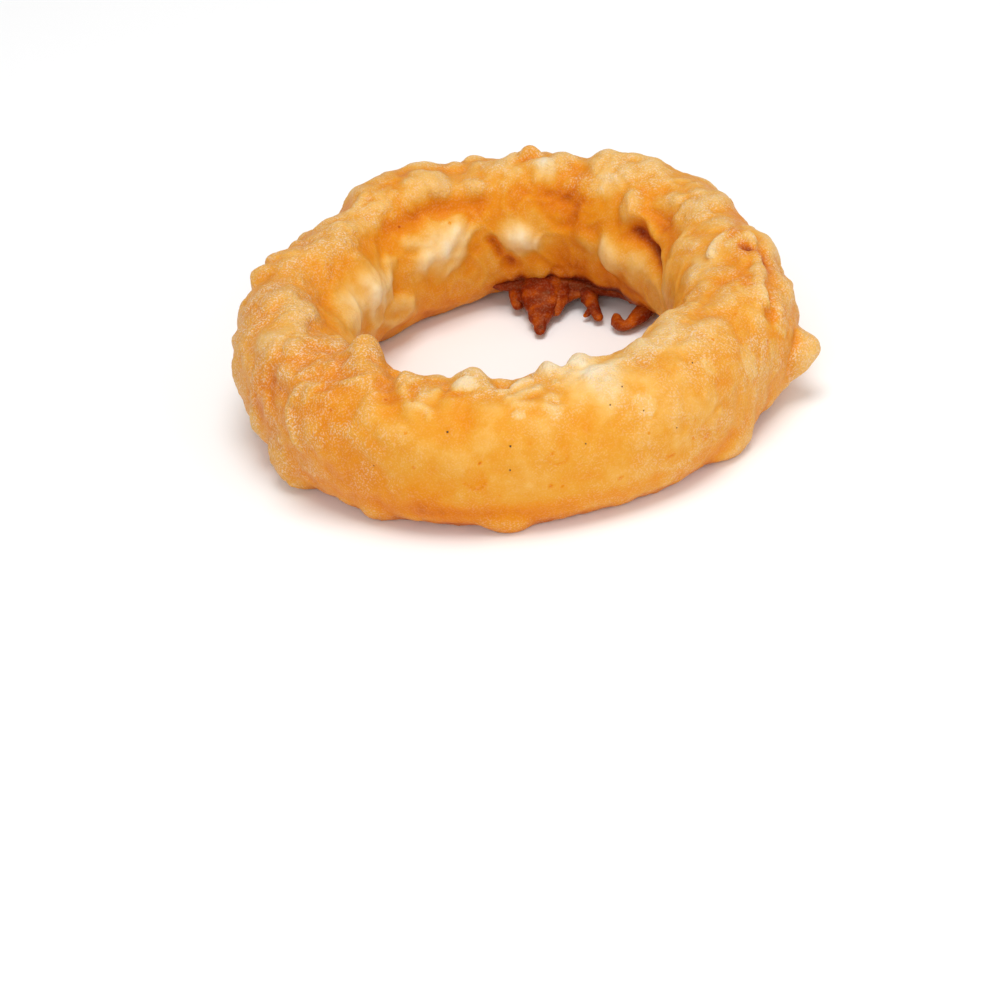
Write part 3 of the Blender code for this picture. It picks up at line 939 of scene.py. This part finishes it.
RUNS = {
    "far_skirt": ((-3.6, 28.6, 4.4, 0.8), (0.4, 28.4, 3.6, 2.0), (5.2, 27.8, 3.2, 2.5), (10.0, 26.6, 3.2, 2.5), (14.6, 24.8, 3.2, 2.2), (18.8, 22.2, 3.2, 2.0), (22.6, 19.2, 3.2, 2.2), (25.4, 16.2, 3.6, 1.7), (27.6, 12.4, 4.4, 0.8)),
    "long_drip": ((6.4, 28.8, 4.0, 3.4), (5.6, 26.5, 3.6, 3.7), (5.0, 23.0, 2.9, 3.2), (4.5, 19.8, 2.2, 2.1), (4.1, 17.4, 1.5, 1.2), (3.9, 15.9, 1.2, 0.8)),
    "long_drip_shoulder": ((9.0, 28.4, 4.0, 2.6), (8.3, 25.6, 3.2, 2.6), (7.6, 22.6, 2.6, 1.9), (7.0, 20.6, 1.9, 1.0)),
    "small_drip": ((1.6, 28.8, 3.8, 2.2), (1.3, 26.4, 2.8, 1.7), (1.1, 24.6, 2.0, 1.2)),
    "forked_drip": ((13.0, 26.6, 3.6, 2.4), (12.8, 24.2, 3.0, 1.8), (13.2, 20.6, 2.2, 1.2), (13.5, 18.7, 1.7, 0.9), (13.8, 17.4, 1.3, 0.7)),
    "forked_drip_arm": ((13.3, 20.2, 2.0, 0.9), (12.4, 19.4, 1.6, 0.7), (11.9, 19.1, 1.3, 0.6)),
    "hook_drip": ((27.6, 21.6, 4.2, 2.6), (25.4, 20.2, 3.4, 2.7), (23.2, 18.6, 2.7, 2.3), (21.0, 15.9, 2.0, 1.6), (19.0, 13.9, 1.5, 1.3), (17.6, 13.5, 1.3, 1.2), (16.7, 15.0, 1.3, 1.1), (16.6, 16.9, 1.4, 0.8)),
    "drip_web": ((0.6, 26.4, 2.8, 1.2), (3.4, 25.0, 2.5, 2.1), (6.4, 24.2, 2.3, 2.4), (9.6, 24.4, 2.5, 1.9), (12.8, 24.2, 2.8, 1.2)),
    "hook_web": ((19.0, 20.4, 2.8, 1.2), (22.0, 19.0, 2.6, 1.9), (24.6, 16.6, 2.8, 1.6), (26.4, 14.0, 3.2, 1.0)),
}
RUN_STEPS = 46
RUN_SIDES = 28


def run_of_batter(stops):
    """A closed run with round ends: its points, its faces and how far along each point is."""
    stops = np.array(stops, dtype=float)
    lengths = np.linalg.norm(np.diff(stops[:, :3], axis=0), axis=1)
    at_stops = np.concatenate([[0], np.cumsum(lengths)])
    total = at_stops[-1] + stops[-1, 3]
    along = total * 0.5 * (1 - np.cos(np.linspace(0, math.pi, RUN_STEPS)))
    along[0], along[-1] = 0.0, total
    inside = np.minimum(along, at_stops[-1])
    path = np.stack([np.interp(inside, at_stops, stops[:, k]) for k in range(3)], axis=1)
    for _ in range(3):
        path[1:-1] = (path[:-2] + 2 * path[1:-1] + path[2:]) / 4
    heading = np.gradient(path, axis=0)
    heading[np.linalg.norm(heading, axis=1) < 1e-9] = stops[-1, :3] - stops[-2, :3]
    heading /= np.linalg.norm(heading, axis=1, keepdims=True)
    path = path + heading * (along - inside)[:, None]
    radius = np.interp(inside, at_stops, stops[:, 3])
    past_end = np.clip((along - inside) / stops[-1, 3], 0.0, 1.0)
    radius = radius * np.sqrt(np.clip(1 - past_end ** 2, 0.0, 1.0)) * np.sqrt(np.clip(along / 0.8, 0.0, 1.0))
    side = np.cross(heading, np.array([0.0, 0.0, 1.0]))
    side /= np.linalg.norm(side, axis=1, keepdims=True)
    over = np.cross(side, heading)
    points = [path[0]]
    distance = [0.0]
    for k in range(1, RUN_STEPS - 1):
        for m in range(RUN_SIDES):
            turn_by = 2 * math.pi * m / RUN_SIDES
            points.append(path[k] + radius[k] * (math.cos(turn_by) * side[k] + 0.62 * math.sin(turn_by) * over[k]))
            distance.append(along[k])
    points.append(path[-1])
    distance.append(total)
    points = np.array(points)
    outward = points - path[np.concatenate([[0], np.repeat(np.arange(1, RUN_STEPS - 1), RUN_SIDES), [RUN_STEPS - 1]])]
    length = np.linalg.norm(outward, axis=1, keepdims=True)
    outward = outward / np.maximum(length, 1e-6)
    uneven = 0.34 * noise(points, 2.8, 131) + 0.24 * noise(points, 1.4, 132) + 0.06 * noise(points, 0.7, 133)
    points = points + outward * (uneven * np.minimum(length[:, 0] / 0.8, 1.0))[:, None]
    faces = []
    for m in range(RUN_SIDES):
        faces.append((0, 1 + (m + 1) % RUN_SIDES, 1 + m))
    for k in range(RUN_STEPS - 3):
        a, b = 1 + k * RUN_SIDES, 1 + (k + 1) * RUN_SIDES
        for m in range(RUN_SIDES):
            n2 = (m + 1) % RUN_SIDES
            faces.append((a + m, a + n2, b + n2, b + m))
    last = 1 + (RUN_STEPS - 3) * RUN_SIDES
    for m in range(RUN_SIDES):
        faces.append((last + m, last + (m + 1) % RUN_SIDES, len(points) - 1))
    return points, faces, np.array(distance) / total


def joined(name, pieces):
    points, faces, count = [], [], 0
    for piece_points, piece_faces in pieces:
        points.append(piece_points)
        faces += [tuple(count + v for v in face) for face in piece_faces]
        count += len(piece_points)
    mesh = bpy.data.meshes.new(name)
    placed = np.concatenate(points) - middle_of_solid()
    placed[:, 2] = np.maximum(placed[:, 2], 0.0)
    mesh.from_pydata((placed * MM).tolist(), [], faces)
    mesh.validate()
    mesh.shade_smooth()
    made = bpy.data.objects.new(name, mesh)
    bpy.context.scene.collection.objects.link(made)
    return made


runs = [run_of_batter(stops) for stops in RUNS.values()]
drips = joined("batter_runs", [(points, faces) for points, faces, _ in runs])
places = np.concatenate([points for points, _, _ in runs])
share = np.concatenate([distance for _, _, distance in runs])
run_tone = 0.12 + 0.06 * smooth(0.6, 1.0, share) + 0.13 * noise(places, 2.2, 141) + 0.08 * noise(places, 0.8, 142)
run_tone += 0.22 * (1 - smooth(-9.0, -6.0, places[:, 0])) + 0.06 * smooth(14.0, 19.0, places[:, 0])
add_values(drips.data, "tone", np.clip(run_tone, 0.02, 1.0))
add_values(drips.data, "frost", np.zeros(len(places)))
drips.data.materials.append(BATTER)
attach(drips, "root")

# Specks of pepper stuck in the near wall: ROUND, SECTION, radius
SPECKS = {
    "speck_a": (252, 50, 0.17),
    "speck_b": (265, 36, 0.16),
    "speck_c": (264, 14, 0.13),
    "speck_d": (287, 54, 0.13),
    "speck_e": (291, 66, 0.12),
    "speck_f": (280, 28, 0.11),
    "speck_g": (236, 12, 0.12),
    "speck_h": (293, 40, 0.11),
    "speck_i": (299, 16, 0.10),
    "speck_j": (309, 58, 0.12),
}


def speck(ring_at, section_at, radius):
    """A small uneven grain, half sunk in the crust."""
    angle = np.array([math.radians(ring_at)]), np.array([math.radians(section_at)])
    nearest = np.argmin(np.linalg.norm(base - wall_at(ring_at, section_at), axis=1))
    centre = point[nearest] + middle_of_solid()
    rows, sides = 6, 9
    points, faces = [centre + (0.0, 0.0, radius)], []
    for k in range(1, rows):
        for m in range(sides):
            p = math.pi * k / rows
            q = 2 * math.pi * m / sides
            points.append(centre + radius * np.array([math.sin(p) * math.cos(q), math.sin(p) * math.sin(q), math.cos(p)]))
    points.append(centre - (0.0, 0.0, radius))
    points = np.array(points)
    points = centre + (points - centre) * (1 + 0.35 * noise(points * 3.0, 0.9, 151))[:, None]
    for m in range(sides):
        faces.append((0, 1 + m, 1 + (m + 1) % sides))
    for k in range(rows - 2):
        a, b = 1 + k * sides, 1 + (k + 1) * sides
        for m in range(sides):
            n2 = (m + 1) % sides
            faces.append((a + m, b + m, b + n2, a + n2))
    last = 1 + (rows - 2) * sides
    for m in range(sides):
        faces.append((last + m, len(points) - 1, last + (m + 1) % sides))
    return points, faces


specks = joined("pepper_specks", [speck(*one) for one in SPECKS.values()])
pepper = Nodes("pepper")
pepper.shader.inputs["Base Color"].default_value = colour(84, 50, 16)
pepper.shader.inputs["Roughness"].default_value = 0.6
specks.data.materials.append(pepper.material)
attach(specks, "root")

# ---------------------------------------------------------------------------
# Floor, light and camera
# ---------------------------------------------------------------------------


def plain(name, rgb, roughness):
    n = Nodes(name)
    n.shader.inputs["Base Color"].default_value = rgb
    n.shader.inputs["Roughness"].default_value = roughness
    return n.material


floor_mesh = bpy.data.meshes.new("floor")
floor_mesh.from_pydata([(-3, -3, 0), (3, -3, 0), (3, 3, 0), (-3, 3, 0)], [], [(0, 1, 2, 3)])
floor = bpy.data.objects.new("floor", floor_mesh)
floor_mesh.materials.append(plain("floor", (0.93, 0.93, 0.93, 1.0), 0.7))
bpy.context.scene.collection.objects.link(floor)

world = bpy.data.worlds.new("studio")
bpy.context.scene.world = world
world.use_nodes = True
background = world.node_tree.nodes["Background"]
background.inputs["Color"].default_value = (1.0, 1.0, 1.0, 1.0)
background.inputs["Strength"].default_value = 0.50


def soft_light(name, place, target, size, power, tint=(1.0, 1.0, 1.0)):
    data = bpy.data.lights.new(name, "AREA")
    data.shape = "DISK"
    data.size = size
    data.energy = power
    data.color = tint
    light = bpy.data.objects.new(name, data)
    light.location = place
    light.rotation_euler = (Vector(target) - Vector(place)).to_track_quat("-Z", "Y").to_euler()
    bpy.context.scene.collection.objects.link(light)


soft_light("key", (0.05, -0.10, 0.85), (0, 0, 0.01), 0.5, 4.2)
soft_light("front", (-0.20, -0.80, 0.40), (0, 0, 0.01), 0.6, 2.5)
soft_light("side", (0.62, -0.50, 0.46), (0, 0, 0.01), 0.5, 1.5)

scene = bpy.context.scene
scene.view_settings.view_transform = "Standard"
scene.view_settings.look = "None"
scene.view_settings.exposure = 0.0
scene.view_settings.gamma = 1.0

# The camera looks down on the ring at 33 degrees, turned 8 degrees about its
# own line of sight
ELEVATION = math.radians(33.0)
TURN = math.radians(-8.0)
LENS = 110.0
SENSOR = 36.0
DISTANCE = 0.480
RING_AT = (517.0, 331.0)     # where the ring's middle lies in a 1000-wide frame
MIDDLE = Vector((0.0, 0.0, 0.011))
back = Vector((0.0, -math.cos(ELEVATION), math.sin(ELEVATION)))
across = Vector((1.0, 0.0, 0.0))
upward = across.cross(-back)
right_hand = across * math.cos(TURN) + upward * math.sin(TURN)
upward = -across * math.sin(TURN) + upward * math.cos(TURN)
per_unit = DISTANCE * SENSOR / LENS / 1000.0
shift_x = float(middle_of_solid()[0]) * MM
shift_y = float(middle_of_solid()[1]) * MM
look_at = (
    MIDDLE
    - Vector((shift_x, shift_y, 0.0))
    - right_hand * (RING_AT[0] - 500.0) * per_unit
    + upward * (RING_AT[1] - 500.0) * per_unit
)
camera_data = bpy.data.cameras.new("camera")
camera_data.lens = LENS
camera_data.sensor_width = SENSOR
camera_data.clip_start = 0.01
camera_data.clip_end = 20.0
camera = bpy.data.objects.new("camera", camera_data)
turn = Matrix((right_hand, upward, back)).transposed()
camera.matrix_world = Matrix.Translation(look_at + back * DISTANCE) @ turn.to_4x4()
scene.collection.objects.link(camera)
scene.camera = camera

bpy.context.view_layer.update()
